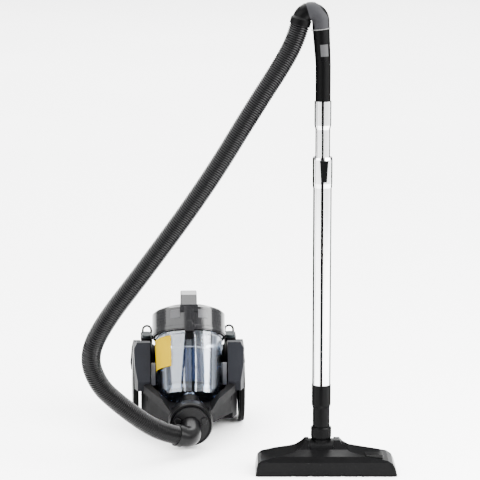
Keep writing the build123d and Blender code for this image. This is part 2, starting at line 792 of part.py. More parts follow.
with BuildPart() as power_switch:
    with BuildSketch(Plane.XY.offset(112)):
        with Locations((PEDAL_X - 2, PEDAL_Y)):
            Rectangle(14, 26)
    extrude(amount=24)
    fillet(power_switch.edges().filter_by(Axis.Z), 1.5)
    with BuildSketch(Plane.XY.offset(136)):
        with Locations((PEDAL_X, PEDAL_Y)):
            Circle(2.5)
    extrude(amount=4)
power_switch.part.label = "power_switch"

# ---------------------------------------------------------------- wheels
def rear_wheel(side):
    """A dished wheel with rim, web, hub and spokes' ribs, and its tyre."""
    base = Plane(origin=(side * WHEEL_INNER_X, 0, WHEEL_R), x_dir=(0, 1, 0), z_dir=(side, 0, 0))
    rim = WHEEL_R - TYRE_T
    with BuildPart() as hub:
        add(turned(base, [
            (AXLE_R + RUN_GAP, 0), (12, 0), (12, 8), (rim - 8, 8), (rim - 4, 0), (rim, 0),
            (rim, WHEEL_W - 2), (rim - 6, WHEEL_W - 1), (20, WHEEL_W + 1), (0, WHEEL_W + 1),
            (0, WHEEL_W - 3), (AXLE_R + RUN_GAP, WHEEL_W - 3),
        ]).part)
    tyre = turned(base, [
        (rim, 0.5), (WHEEL_R - 1.5, 0.5), (WHEEL_R, 2.5), (WHEEL_R, WHEEL_W - 4),
        (WHEEL_R - 1.5, WHEEL_W - 2), (rim, WHEEL_W - 2),
    ])
    return hub, tyre


wheel_right, tyre_right = rear_wheel(1)
wheel_right.part.label = "wheel_right"
tyre_right.part.label = "tyre_right"
wheel_left, tyre_left = rear_wheel(-1)
wheel_left.part.label = "wheel_left"
tyre_left.part.label = "tyre_left"

with BuildPart() as rear_axles:
    for side in (-1, 1):
        root = Plane(origin=(side * 88, 0, WHEEL_R), x_dir=(0, 1, 0), z_dir=(side, 0, 0))
        add(rod(root, AXLE_R - 0.02, 23).part)
rear_axles.part.label = "rear_axles"

caster_pivot = Plane(origin=(0, CASTER_Y, 0), x_dir=(1, 0, 0), z_dir=(0, 0, 1))
caster_axle_y = CASTER_Y + CASTER_TRAIL
with BuildPart() as caster_fork:
    add(rod(caster_pivot.offset(33), 5, 19).part)
    with BuildSketch(Plane.XY.offset(33)):
        with Locations((0, CASTER_Y + 4)):
            SlotOverall(32, 22, rotation=90)
    extrude(amount=4)
    with BuildSketch(Plane.YZ.offset(-10)):
        with BuildLine():
            Polyline(
                (CASTER_Y - 8, 34), (caster_axle_y - 6, CASTER_R - 5),
                (caster_axle_y + 6, CASTER_R - 5), (caster_axle_y + 7, 34), close=True,
            )
        make_face()
    extrude(amount=20)
    with BuildSketch(Plane.YZ.offset(-7)):
        with Locations((caster_axle_y, CASTER_R)):
            Circle(CASTER_R + 3)
        with Locations((CASTER_Y, CASTER_R)):
            Rectangle(60, 2 * CASTER_R + 6)
    extrude(amount=14, mode=Mode.SUBTRACT)
    with BuildSketch(Plane.YZ.offset(-12)):
        with Locations((caster_axle_y, CASTER_R)):
            Circle(2.5)
    extrude(amount=24, mode=Mode.SUBTRACT)
caster_fork.part.label = "caster_fork"

caster_side = Plane(origin=(0, caster_axle_y, CASTER_R), x_dir=(0, 1, 0), z_dir=(1, 0, 0))
caster_pin = rod(caster_side.offset(-11), 2.45, 22)
caster_pin.part.label = "caster_pin"
with BuildPart() as caster_wheel:
    add(tube(caster_side.offset(-6), CASTER_R, 2.45 + RUN_GAP, 12).part)
    fillet(caster_wheel.edges().filter_by(GeomType.CIRCLE).group_by(SortBy.RADIUS)[-1], 2)
caster_wheel.part.label = "caster_wheel"

# ---------------------------------------------------------------- wand
outer_tube = tube(wand.offset(OUTER_LOW), OUTER_R, OUTER_BORE, COLLAR_TOP - 8 - OUTER_LOW)
outer_tube.part.label = "outer_tube"

wand_collar = turned(wand, [
    (OUTER_R + 0.03, COLLAR_LOW), (OUTER_R + 0.6, COLLAR_LOW), (OUTER_R + 1.2, COLLAR_LOW + 8),
    (OUTER_R + 1.2, COLLAR_TOP - 4), (OUTER_R + 0.4, COLLAR_TOP), (INNER_R + 0.4, COLLAR_TOP),
    (INNER_R + 0.4, COLLAR_TOP - 3), (OUTER_R + 0.03, COLLAR_TOP - 6),
])
wand_collar.part.label = "wand_collar"

glide_bush = tube(wand.offset(COLLAR_TOP - 40), OUTER_BORE - 0.02, INNER_R + RUN_GAP, 30)
glide_bush.part.label = "glide_bush"

with BuildPart() as collar_button:
    with BuildSketch(wand.offset(555)):
        with Locations((2, -OUTER_R - 3)):
            Rectangle(11, 6)
    with BuildSketch(wand.offset(596)):
        with Locations((2, -OUTER_R - 4.5)):
            Rectangle(16, 9)
    loft()
    add(rod(wand.offset(540), OUTER_R + 1.6, 70).part, mode=Mode.SUBTRACT)
    fillet(collar_button.edges().group_by(Axis.Y)[0], 1.5)
collar_button.part.label = "collar_button"

with BuildPart() as inner_tube:
    add(turned(wand, [
        (INNER_BORE, INNER_LOW), (INNER_R, INNER_LOW), (INNER_R, INNER_NECK),
        (SOCKET_R, INNER_NECK + 8), (SOCKET_R, INNER_TOP), (SOCKET_R - 1.1, INNER_TOP),
        (SOCKET_R - 1.1, INNER_NECK + 9), (INNER_BORE, INNER_NECK + 1),
    ]).part)
    for step in range(18):
        hole = Plane(
            origin=(WAND_X, WAND_Y, INNER_NECK - 20 - step * DETENT_PITCH), z_dir=(0, -1, 0)
        )
        with BuildSketch(hole):
            SlotOverall(7, 3)
        extrude(amount=20, mode=Mode.SUBTRACT)
inner_tube.part.label = "inner_tube"

foot_ring = tube(wand.offset(INNER_LOW), OUTER_BORE - RUN_GAP, INNER_R + 0.02, 15)
foot_ring.part.label = "foot_ring"

# ---------------------------------------------------------------- handle
shaft_foot = Plane(origin=(WAND_X, WAND_Y, SHAFT_FOOT_Z), z_dir=(0, 0, 1))
shaft_top = Plane(origin=(BEND_X + BEND_R, WAND_Y, BEND_Z), z_dir=(0, 0, 1))
bend_axis = Axis((BEND_X, WAND_Y, BEND_Z), (0, -1, 0))
bend_side = Plane(origin=(BEND_X, WAND_Y, BEND_Z), x_dir=(1, 0, 0), z_dir=(0, -1, 0))


def bend_piece(outer_r, inner_r, start, turn):
    """Part of the handle's top bend as a tube, from one angle on for a turn."""
    section = Plane(
        origin=(BEND_X + BEND_R * cos(radians(start)), WAND_Y, BEND_Z + BEND_R * sin(radians(start))),
        x_dir=(cos(radians(start)), 0, sin(radians(start))),
        z_dir=(-sin(radians(start)), 0, cos(radians(start))),
    )
    with BuildPart() as made:
        with BuildSketch(section):
            Circle(outer_r)
            Circle(inner_r, mode=Mode.SUBTRACT)
        revolve(axis=bend_axis, revolution_arc=turn)
    return made


def shaft(foot_r, top_r, inner_foot_r, inner_top_r):
    """The handle's leaning upper shaft, as a tube."""
    with BuildPart() as made:
        with BuildSketch(shaft_foot):
            Circle(foot_r)
        with BuildSketch(shaft_top):
            Circle(top_r)
        loft()
        with BuildSketch(shaft_foot):
            Circle(inner_foot_r)
        with BuildSketch(shaft_top):
            Circle(inner_top_r)
        loft(mode=Mode.SUBTRACT)
    return made


with BuildPart() as whole_shell:
    add(tube(wand.offset(INNER_TOP), SHAFT_R, BEND_BORE, SHAFT_FOOT_Z - INNER_TOP).part)
    add(tube(wand.offset(INNER_TOP - 16), SOCKET_R - 1.15, BEND_BORE, 16).part)
    add(shaft(SHAFT_R, BEND_TUBE_R, BEND_BORE, BEND_BORE).part)
    add(bend_piece(BEND_TUBE_R, BEND_BORE, 0, RING_START).part)

CUFF_START = RING_START + RING_TURN
cuff_mouth = Plane(origin=HOSE_ROUTE[0], z_dir=Vector(*HOSE_ROUTE[0]) - Vector(*HOSE_ROUTE[1]))
with BuildPart() as hose_cuff:
    add(bend_piece(BEND_TUBE_R + 0.6, BEND_BORE, RING_START, RING_TURN).part)
    add(bend_piece(BEND_TUBE_R + 0.2, BEND_BORE, CUFF_START, BEND_TURN - CUFF_START).part)
    with BuildSketch(cuff_mouth):
        Circle(HOSE_R + 1)
    extrude(amount=CUFF_STRAIGHT - 1)
    with BuildSketch(cuff_mouth.offset(CUFF_STRAIGHT - 1)):
        Circle(HOSE_R + 1)
    with BuildSketch(cuff_mouth.offset(CUFF_STRAIGHT + 3)):
        Circle(BEND_TUBE_R)
    loft()
    with BuildSketch(cuff_mouth):
        Circle(BEND_BORE + 0.5)
    extrude(amount=CUFF_STRAIGHT + 2, mode=Mode.SUBTRACT)
hose_cuff.part.label = "hose_cuff"

# A soft pad on the bend's front, and the slider that lets air in below it
with BuildPart() as handle_pad:
    add(bend_piece(BEND_TUBE_R + PAD_T, BEND_TUBE_R + 0.02, 0, RING_START - 1).part)
    add(shaft(SHAFT_R + PAD_T, BEND_TUBE_R + PAD_T, SHAFT_R + 0.02, BEND_TUBE_R + 0.02).part)
    with BuildSketch(bend_side):
        with BuildLine():
            Polyline(
                (BEND_R + 14, -13), (BEND_R + 14, 8), (BEND_R - 2, 29), (6, 36), (-8, 36),
                (-10, 24), (-6, 10), (2, 0), (BEND_R - 12, -8), (BEND_R - 12, -16), close=True,
            )
        make_face()
    extrude(amount=40, mode=Mode.INTERSECT)
handle_pad.part.label = "handle_pad"

# The slider's slot, which starts part of the way down the shaft
shaft_line = (shaft_foot.origin - shaft_top.origin).normalized()
slot_plane = Plane(origin=shaft_top.origin + shaft_line * 42, x_dir=(0, 1, 0), z_dir=shaft_line)


def shaft_sector(inner_r, outer_r, half_angle, start, length):
    """A strip of the shaft's wall, centred on the slider's side of the shaft."""
    with BuildPart() as made:
        with BuildSketch(slot_plane.offset(start)):
            Circle(outer_r)
            Circle(inner_r, mode=Mode.SUBTRACT)
            with BuildLine():
                centre = 180 - SLIDER_TURN
                low = radians(centre - half_angle)
                high = radians(centre + half_angle)
                Polyline(
                    (0, 0), (30 * cos(low), 30 * sin(low)), (30 * cos(high), 30 * sin(high)),
                    close=True,
                )
            make_face(mode=Mode.INTERSECT)
        extrude(amount=length)
    return made


handle_slot = shaft_sector(14.0, 20, 30, 0, SLIDER_L + SLIDER_TRAVEL + 1)
with BuildPart() as handle_shell:
    add(whole_shell.part)
    add(handle_slot.part, mode=Mode.SUBTRACT)
handle_shell.part.label = "handle_shell"
suction_slider = shaft_sector(14.1, 16.6, 26, 0.5, SLIDER_L)
suction_slider.part.label = "suction_slider"

# ---------------------------------------------------------------- floor head
head_cuff = turned(wand, [
    (16.1, COLLAR_HIGH + 1), (16.1, 121), (18.1, 127), (18.1, OUTER_LOW),
    (OUTER_BORE - 0.05, OUTER_LOW), (OUTER_BORE - 0.05, 190), (14.2, 190), (13, 130),
    (12.2, COLLAR_HIGH - 16), (SPIGOT_R, COLLAR_HIGH - 16), (SPIGOT_R, COLLAR_HIGH + 1),
])
head_cuff.part.label = "head_cuff"

with BuildPart() as neck:
    with BuildSketch(pivot.offset(-BARREL_HALF)):
        Circle(BARREL_R)
    extrude(amount=2 * BARREL_HALF)
    add(rod(wand.offset(PIVOT_Z), OUTER_R + 0.5, COLLAR_END - PIVOT_Z + 1).part)
    add(turned(wand, [
        (0, COLLAR_END - 6), (OUTER_R, COLLAR_END - 6), (OUTER_R + 2, COLLAR_END),
        (OUTER_R + 2, COLLAR_HIGH - 2), (OUTER_R + 0.5, COLLAR_HIGH), (0, COLLAR_HIGH),
    ]).part)
    add(rod(wand.offset(10), 12, 90).part, mode=Mode.SUBTRACT)
    add(rod(wand.offset(COLLAR_HIGH - 17), SPIGOT_R + RUN_GAP, 30).part, mode=Mode.SUBTRACT)
    add(rod(pivot.offset(-BARREL_HALF + 3), BARREL_R - 3, 2 * BARREL_HALF - 6).part, mode=Mode.SUBTRACT)
    for side in (-1, 1):
        out = Plane(
            origin=(WAND_X + side * (BARREL_HALF - 3), WAND_Y, PIVOT_Z), x_dir=(0, 1, 0),
            z_dir=(side, 0, 0),
        )
        with BuildSketch(out):
            Circle(6)
        extrude(amount=17)
neck.part.label = "neck"

# The shell is where its front and its end outlines cross
head_front_plane = Plane(origin=(HEAD_X, 0, 0), x_dir=(1, 0, 0), z_dir=(0, -1, 0))


def head_block(inset):
    """The head's outer form above the sole plate, moved in by a wall."""
    end_profile = [
        (HEAD_FRONT + inset, SOLE_T), (HEAD_FRONT + 1 + inset, 27),
        (HEAD_FRONT + 8 + inset, 37 - inset), (WAND_Y - 26, 45 - inset),
        (WAND_Y - 14, 60 - inset), (WAND_Y + 12, 60 - inset),
        (HEAD_REAR - inset, 44 - inset), (HEAD_REAR - inset, SOLE_T),
    ]
    hump = [
        (-HEAD_HALF + inset, SOLE_T), (1.5 - HEAD_HALF + inset, 14), (4 - HEAD_HALF + inset, 24),
        (11 - HEAD_HALF + inset, 30 - inset), (NECK_SHIFT - 87, 36 - inset),
        (NECK_SHIFT - 60, 40 - inset), (NECK_SHIFT - 48, 43 - inset),
        (NECK_SHIFT - 38, 51 - inset), (NECK_SHIFT - 30, 61 - inset),
        (NECK_SHIFT + 34, 61 - inset), (NECK_SHIFT + 41, 51 - inset),
        (NECK_SHIFT + 52, 43 - inset), (NECK_SHIFT + 74, 39 - inset),
        (NECK_SHIFT + 105, 34 - inset), (HEAD_HALF - 17 - inset, 30 - inset),
        (HEAD_HALF - 8 - inset, 24), (HEAD_HALF - 3 - inset, 14), (HEAD_HALF - inset, SOLE_T),
    ]
    with BuildPart() as made:
        add(prism(head_end.offset(-HEAD_HALF), end_profile, 2 * HEAD_HALF).part)
        with BuildSketch(head_front_plane.offset(-WAND_Y - 60)):
            with BuildLine():
                Polyline(*hump, close=True)
            make_face()
        extrude(amount=160, mode=Mode.INTERSECT)
        corners = made.edges().filter_by(
            lambda e: abs(e.tangent_at(0).Z) > 0.8 and abs(e.center().Y - HEAD_FRONT) < 12
        )
        if not inset:
            fillet(corners, 7)
    return made


head_outer = head_block(0)
with BuildPart() as head_cavity:
    add(head_block(WALL).part)
    for side in (-1, 1):
        cheek = Plane(
            origin=(WAND_X + side * SLOT_HALF, WAND_Y, PIVOT_Z), x_dir=(0, 1, 0), z_dir=(side, 0, 0)
        )
        with BuildSketch(cheek):
            Rectangle(200, 200)
        extrude(amount=CHEEK_T, mode=Mode.SUBTRACT)
        add(rod(cheek, 10, 16).part, mode=Mode.SUBTRACT)

with BuildPart() as head_shell:
    add(head_outer.part)
    add(head_cavity.part, mode=Mode.SUBTRACT)
    add(rod(pivot.offset(-SLOT_HALF), BARREL_R + 1, 2 * SLOT_HALF).part, mode=Mode.SUBTRACT)
    with BuildSketch(Plane.XY.offset(SOLE_T)):
        with Locations((WAND_X, WAND_Y + 40)):
            Rectangle(2 * SLOT_HALF, 80)
        with Locations((WAND_X, WAND_Y)):
            Rectangle(2 * SLOT_HALF, 2 * OUTER_R + 12)
    extrude(amount=80, mode=Mode.SUBTRACT)
    add(rod(pivot.offset(-60), 6 + RUN_GAP, 120).part, mode=Mode.SUBTRACT)
    with BuildSketch(Plane.XY.offset(15)):
        with Locations(PEDAL_HOLE):
            RectangleRounded(34, 24, 3)
    extrude(amount=60, mode=Mode.SUBTRACT)
    with BuildSketch(Plane.XY):
        for row in BRISTLE_Y:
            with Locations((HEAD_X, row)):
                Rectangle(230, 4.6)
    extrude(amount=BRISTLE_TOP + BRISTLE_LIFT + 1, mode=Mode.SUBTRACT)
head_shell.part.label = "head_shell"

roller_side = Plane(origin=(HEAD_X, ROLLER_Y, ROLLER_R), x_dir=(0, 1, 0), z_dir=(1, 0, 0))

# Sole plate: castellated front edge, a suction slot, and two slots for the bristles
with BuildPart() as sole_plate:
    with BuildSketch(Plane.XY) as plan:
        with Locations((HEAD_X, (HEAD_FRONT + HEAD_REAR) / 2)):
            Rectangle(2 * HEAD_HALF, HEAD_REAR - HEAD_FRONT)
        fillet(plan.vertices(), 6)
        with Locations((HEAD_X, HEAD_FRONT)):
            with GridLocations(31, 0, 5, 1):
                Rectangle(8, 12, mode=Mode.SUBTRACT)
        with Locations((HEAD_X, HEAD_FRONT + 32)):
            Rectangle(226, 13, mode=Mode.SUBTRACT)
        for row in BRISTLE_Y:
            with Locations((HEAD_X, row)):
                Rectangle(230, 4.6, mode=Mode.SUBTRACT)
        with Locations((HEAD_X - 100, ROLLER_Y), (HEAD_X + 100, ROLLER_Y)):
            Rectangle(16, 17, mode=Mode.SUBTRACT)
    extrude(amount=SOLE_T)
    with BuildSketch(Plane.XY.offset(SOLE_T)):
        with Locations(*[(HEAD_X + x, ROLLER_Y) for x in (-110, -90, 90, 110)]):
            Rectangle(4, 10)
    extrude(amount=ROLLER_R + 1)
    add(rod(roller_side.offset(-HEAD_HALF + 5), 2.01, 2 * HEAD_HALF - 10).part, mode=Mode.SUBTRACT)
sole_plate.part.label = "sole_plate"

with BuildPart() as brush_strip:
    for row in BRISTLE_Y:
        with BuildSketch(Plane.XY.offset(0.2)):
            with Locations((HEAD_X, row)):
                Rectangle(228, 3.8)
        extrude(amount=BRISTLE_TOP - 0.2)
brush_strip.part.label = "brush_strip"

with BuildPart() as brush_pedal:
    with BuildSketch(Plane.XY.offset(28)):
        with Locations(PEDAL_HOLE):
            RectangleRounded(33.2, 23.2, 2.6)
    extrude(amount=12)
brush_pedal.part.label = "brush_pedal"

with BuildPart() as head_rollers:
    for start in (-105, 95):
        add(tube(roller_side.offset(start), ROLLER_R, 2 + RUN_GAP, 10).part)
head_rollers.part.label = "head_rollers"
with BuildPart() as roller_axles:
    for start in (-112, 88):
        add(rod(roller_side.offset(start), 2, 24).part)
roller_axles.part.label = "roller_axles"

# ---------------------------------------------------------------- hose
def corner_radii(route):
    """The largest radius that each corner's two runs leave room for."""
    radii = []
    for before, here, after in zip(route, route[1:], route[2:]):
        run_in = Vector(*here) - Vector(*before)
        run_out = Vector(*after) - Vector(*here)
        turn = run_in.get_angle(run_out)
        shorter = min(run_in.length, run_out.length)
        radii.append(0.45 * shorter / tan(radians(turn / 2)))
    return radii


HOSE_RADII = corner_radii(HOSE_ROUTE)
print("hose radii", [round(radius) for radius in HOSE_RADII])
with BuildPart() as hose:
    with BuildLine() as hose_path:
        FilletPolyline(*HOSE_ROUTE, radius=HOSE_RADII)
    with BuildSketch(Plane(origin=hose_path.line @ 0, z_dir=hose_path.line % 0)):
        Circle(HOSE_R)
        Circle(HOSE_BORE, mode=Mode.SUBTRACT)
    sweep(path=hose_path.line)
hose.part.label = "hose"
hose_length = hose_path.wire().length
hose_section = pi * (HOSE_R ** 2 - HOSE_BORE ** 2)
print("hose length", round(hose_length, 1))
print("hose volume over section times length", hose.part.volume / (hose_section * hose_length))

# ---------------------------------------------------------------- placing and writing
canister_pieces = [
    base_tub, upper_housing, front_deck, side_wing_left, side_wing_right,
    shoulder_loops, port_collar, inlet_duct, hose_elbow, elbow_button_left, elbow_button_right,
    dust_cup, cup_base, cup_seal, cup_lid, carry_handle, lid_button, cyclone_filter, filter_foot,
    filter_shroud, foam_filter, cup_sticker, motor_can, motor_rotor, motor_fan,
    hepa_filter, exhaust_door, cord_reel, reel_axle, cord_outlet, power_pedal, rewind_pedal,
    power_switch, wheel_left, wheel_right, tyre_left, tyre_right, rear_axles, caster_fork,
    caster_pin, caster_wheel,
]
wand_pieces = [
    outer_tube, wand_collar, glide_bush, collar_button, inner_tube, foot_ring, handle_shell,
    hose_cuff, handle_pad, suction_slider, head_cuff, neck, head_shell, sole_plate,
    brush_strip, brush_pedal, head_rollers, roller_axles, hose,
]
for piece in canister_pieces:
    piece.part.move(CANISTER_PLACE)
for piece in canister_pieces + wand_pieces:
    export_step(piece.part, f"parts/{piece.part.label}.step")
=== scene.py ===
import json
import random
from math import atan2, cos, pi, radians, sin

import bmesh
import bpy
from mathutils import Matrix, Vector


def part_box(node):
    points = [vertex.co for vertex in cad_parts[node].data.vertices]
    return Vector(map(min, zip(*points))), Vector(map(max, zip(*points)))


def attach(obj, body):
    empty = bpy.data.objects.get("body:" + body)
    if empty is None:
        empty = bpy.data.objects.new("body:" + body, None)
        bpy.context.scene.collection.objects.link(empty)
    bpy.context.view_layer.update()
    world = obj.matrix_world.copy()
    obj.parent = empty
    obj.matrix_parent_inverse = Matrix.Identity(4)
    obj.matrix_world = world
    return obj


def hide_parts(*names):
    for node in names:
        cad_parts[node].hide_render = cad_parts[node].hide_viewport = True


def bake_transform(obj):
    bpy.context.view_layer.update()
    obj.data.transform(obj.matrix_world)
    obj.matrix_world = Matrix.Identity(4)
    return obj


# Canister vacuum cleaner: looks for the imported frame. Metres, +Z up.
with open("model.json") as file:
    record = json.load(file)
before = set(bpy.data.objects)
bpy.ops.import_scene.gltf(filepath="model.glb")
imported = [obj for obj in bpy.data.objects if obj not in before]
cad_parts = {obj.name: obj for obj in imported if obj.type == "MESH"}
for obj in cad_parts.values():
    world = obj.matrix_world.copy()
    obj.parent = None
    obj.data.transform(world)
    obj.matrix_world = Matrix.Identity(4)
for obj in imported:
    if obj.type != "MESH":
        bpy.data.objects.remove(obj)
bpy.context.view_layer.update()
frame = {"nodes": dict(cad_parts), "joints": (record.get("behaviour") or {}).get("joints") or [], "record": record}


def placed(name, data):
    """A new object in the scene."""
    made = bpy.data.objects.new(name, data)
    bpy.context.scene.collection.objects.link(made)
    return made


# ---------------------------------------------------------------- camera
camera_data = bpy.data.cameras.new("camera")
camera_data.lens = 187.5
camera_data.sensor_width = 36
camera_data.clip_end = 50
camera = placed("camera", camera_data)
camera.location = (-0.0372, -4.8067, 1.2948)
camera.rotation_euler = (radians(79.5), 0, 0)
bpy.context.scene.camera = camera

# ---------------------------------------------------------------- places
ROOT = "casing_and_wand"
LID = "cup_lid_body"
MM = 0.001
CUP_FOOT = (0, -0.100, 0.078)
CUP_LEAN = radians(-27)
joints = {joint["name"]: joint for joint in frame["joints"]}

# The canister's own axes, found from its wheels, and those of the cup that leans in it
right_hub = Vector(joints["right_wheel_spin"]["pos_m"])
left_hub = Vector(joints["left_wheel_spin"]["pos_m"])
middle = (right_hub + left_hub) / 2
axle = right_hub - left_hub
CANISTER = (
    Matrix.Translation((middle.x, middle.y, 0)) @ Matrix.Rotation(atan2(axle.y, axle.x), 4, "Z")
)
CUP = CANISTER @ Matrix.Translation(CUP_FOOT) @ Matrix.Rotation(CUP_LEAN, 4, "X")

# ---------------------------------------------------------------- making pieces
SHARP_EDGE = radians(38)
STEPS_ROUND = 72            # faces of a sweep that goes all the way round
STEPS_PART = 14             # and of one that does not


def skin(rings, capped=False, looped=False):
    """Points and faces that join rings of points, all of one count."""
    count = len(rings[0])
    points = [tuple(point) for ring in rings for point in ring]
    total = len(points)
    faces = []
    for row in range(len(rings) if looped else len(rings) - 1):
        for step in range(count):
            here = row * count + step
            beside = row * count + (step + 1) % count
            faces.append((here, beside, (beside + count) % total, (here + count) % total))
    if capped:
        faces.append(tuple(reversed(range(count))))
        faces.append(tuple(range(total - count, total)))
    return points, faces


def mesh_of(name, *skins):
    """One mesh of several skins, facing outward, smooth but for its sharp edges."""
    points = []
    faces = []
    for more_points, more_faces in skins:
        start = len(points)
        points += more_points
        faces += [tuple(start + corner for corner in face) for face in more_faces]
    mesh = bpy.data.meshes.new(name)
    mesh.from_pydata(points, [], faces)
    work = bmesh.new()
    work.from_mesh(mesh)
    bmesh.ops.recalc_face_normals(work, faces=work.faces)
    work.to_mesh(mesh)
    work.free()
    mesh.shade_smooth()
    mesh.set_sharp_from_angle(angle=SHARP_EDGE)
    return mesh


def piece(name, skins, material, body):
    """One or more skins become a named piece that rides on a body."""
    made = placed(name, mesh_of(name, *skins))
    made.data.materials.append(material)
    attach(made, body)
    return made


def sector(place, profile, centre=0, half=180):
    """Sweeps an outline of (radius, height) in mm round an axis, by angles from its -Y side."""
    whole = half == 180
    steps = STEPS_ROUND if whole else STEPS_PART
    rings = []
    for step in range(steps if whole else steps + 1):
        angle = radians(centre - half + 2 * half * step / steps)
        rings.append([
            place @ (MM * Vector((radius * sin(angle), -radius * cos(angle), height)))
            for radius, height in profile
        ])
    return skin(rings, capped=not whole, looped=whole)


def raised(inner, outer, low, high, slope):
    """The outline in mm of something that stands out from a wall, with sloping edges."""
    return [(inner, low), (outer, low + slope), (outer, high - slope), (inner, high)]


def plate(place, centre, size, edge):
    """A block in mm with chamfers on its four upright corners and round its top and foot."""
    half_x, half_y, half_z = [value / 2 for value in size]
    rings = []
    for height, inset in (
        (-half_z, edge), (-half_z + edge, 0), (half_z - edge, 0), (half_z, edge),
    ):
        wide = half_x - inset
        deep = half_y - inset
        rings.append([
            place @ (MM * (Vector(centre) + Vector((x, y, height))))
            for x, y in (
                (wide - edge, -deep), (wide, -deep + edge), (wide, deep - edge),
                (wide - edge, deep), (-wide + edge, deep), (-wide, deep - edge),
                (-wide, -deep + edge), (-wide + edge, -deep),
            )
        ])
    return skin(rings, capped=True)


# ---------------------------------------------------------------- materials
def material_with(name):
    """A new material, its node tree, its Principled node and an object-space position socket."""
    made = bpy.data.materials.new(name)
    made.use_nodes = True
    tree = made.node_tree
    shader = tree.nodes["Principled BSDF"]
    place = tree.nodes.new("ShaderNodeTexCoord").outputs["Object"]
    return made, tree, shader, place


def shade(colour, share):
    """A colour made darker or lighter."""
    return [min(1, share * value) for value in colour]


def noise(tree, place, scale, detail=3):
    """A cloudy 0 to 1 factor, finer with scale and rougher with detail."""
    texture = tree.nodes.new("ShaderNodeTexNoise")
    texture.inputs["Scale"].default_value = scale
    texture.inputs["Detail"].default_value = detail
    tree.links.new(place, texture.inputs["Vector"])
    return texture.outputs["Fac"]


def between(tree, factor, low, high):
    """Maps a 0 to 1 factor to a range."""
    mapped = tree.nodes.new("ShaderNodeMapRange")
    mapped.inputs["To Min"].default_value = low
    mapped.inputs["To Max"].default_value = high
    tree.links.new(factor, mapped.inputs["Value"])
    return mapped.outputs["Result"]


def bumped(tree, shader, height, strength, distance):
    """Gives a shader small relief from a height, at most distance deep."""
    bump = tree.nodes.new("ShaderNodeBump")
    bump.inputs["Strength"].default_value = strength
    bump.inputs["Distance"].default_value = distance
    tree.links.new(height, bump.inputs["Height"])
    tree.links.new(bump.outputs["Normal"], shader.inputs["Normal"])


def tinted(tree, factor, dark, light):
    """A colour that varies between two by a factor."""
    ramp = tree.nodes.new("ShaderNodeValToRGB")
    for element, position, colour in zip(ramp.color_ramp.elements, (0.3, 0.7), (dark, light)):
        element.position = position
        element.color = (*colour, 1)
    tree.links.new(factor, ramp.inputs["Fac"])
    return ramp.outputs["Color"]


def moulded(name, colour, roughness, grain=0.25, gloss=0.12):
    """Moulded plastic or rubber: fine grain, faint flow marks and handling wear in its sheen."""
    made, tree, shader, place = material_with(name)
    flow = noise(tree, place, scale=14)
    tree.links.new(
        tinted(tree, flow, shade(colour, 0.88), shade(colour, 1.12)), shader.inputs["Base Color"]
    )
    wear = noise(tree, place, scale=55, detail=5)
    tree.links.new(
        between(tree, wear, roughness * 0.8, roughness * 1.2), shader.inputs["Roughness"]
    )
    eroded = noise(tree, place, scale=1600, detail=2)
    bumped(tree, shader, eroded, strength=grain, distance=0.0002)
    shader.inputs["Specular IOR Level"].default_value = gloss
    return made


def metal(name, colour, roughness, stretch):
    """Plated or turned metal: faint smudges, and fine marks that a small stretch draws out on Z."""
    made, tree, shader, place = material_with(name)
    mapping = tree.nodes.new("ShaderNodeMapping")
    mapping.inputs["Scale"].default_value = (1, 1, stretch)
    tree.links.new(place, mapping.inputs["Vector"])
    drawn = noise(tree, mapping.outputs["Vector"], scale=700, detail=2)
    smudge = noise(tree, place, scale=9)
    tree.links.new(tinted(tree, smudge, shade(colour, 0.93), colour), shader.inputs["Base Color"])
    tree.links.new(between(tree, smudge, roughness, roughness * 1.8), shader.inputs["Roughness"])
    bumped(tree, shader, drawn, strength=0.05, distance=0.0001)
    shader.inputs["Metallic"].default_value = 1
    return made


def woven(name, colour, scale, depth):
    """Filter media and foam: a matte open grain with cloudy colour."""
    made, tree, shader, place = material_with(name)
    cloud = noise(tree, place, scale=40, detail=6)
    tree.links.new(tinted(tree, cloud, shade(colour, 0.75), colour), shader.inputs["Base Color"])
    cells = tree.nodes.new("ShaderNodeTexVoronoi")
    cells.inputs["Scale"].default_value = scale
    tree.links.new(place, cells.inputs["Vector"])
    bumped(tree, shader, cells.outputs["Distance"], strength=0.6, distance=depth)
    shader.inputs["Roughness"].default_value = 0.85
    return made


def clear(name, tint, haze):
    """Clear smoked moulding: see-through face on, mirror-like at its edges."""
    made, tree, shader, place = material_with(name)
    scuffs = noise(tree, place, scale=120, detail=6)
    tree.links.new(between(tree, scuffs, haze, haze * 3), shader.inputs["Roughness"])
    tree.links.new(
        tinted(tree, noise(tree, place, scale=8), (0.86, 0.9, 0.96), (0.92, 0.94, 0.98)),
        shader.inputs["Base Color"],
    )
    shader.inputs["Metallic"].default_value = 1
    see = tree.nodes.new("ShaderNodeBsdfTransparent")
    see.inputs["Color"].default_value = (*tint, 1)
    edge = tree.nodes.new("ShaderNodeLayerWeight")
    edge.inputs["Blend"].default_value = 0.25
    mixed = tree.nodes.new("ShaderNodeMixShader")
    mirrored = between(tree, edge.outputs["Fresnel"], low=0.055, high=0.7)
    tree.links.new(mirrored, mixed.inputs["Fac"])
    tree.links.new(see.outputs["BSDF"], mixed.inputs[1])
    tree.links.new(shader.outputs["BSDF"], mixed.inputs[2])
    tree.links.new(mixed.outputs["Shader"], tree.nodes["Material Output"].inputs["Surface"])
    return made


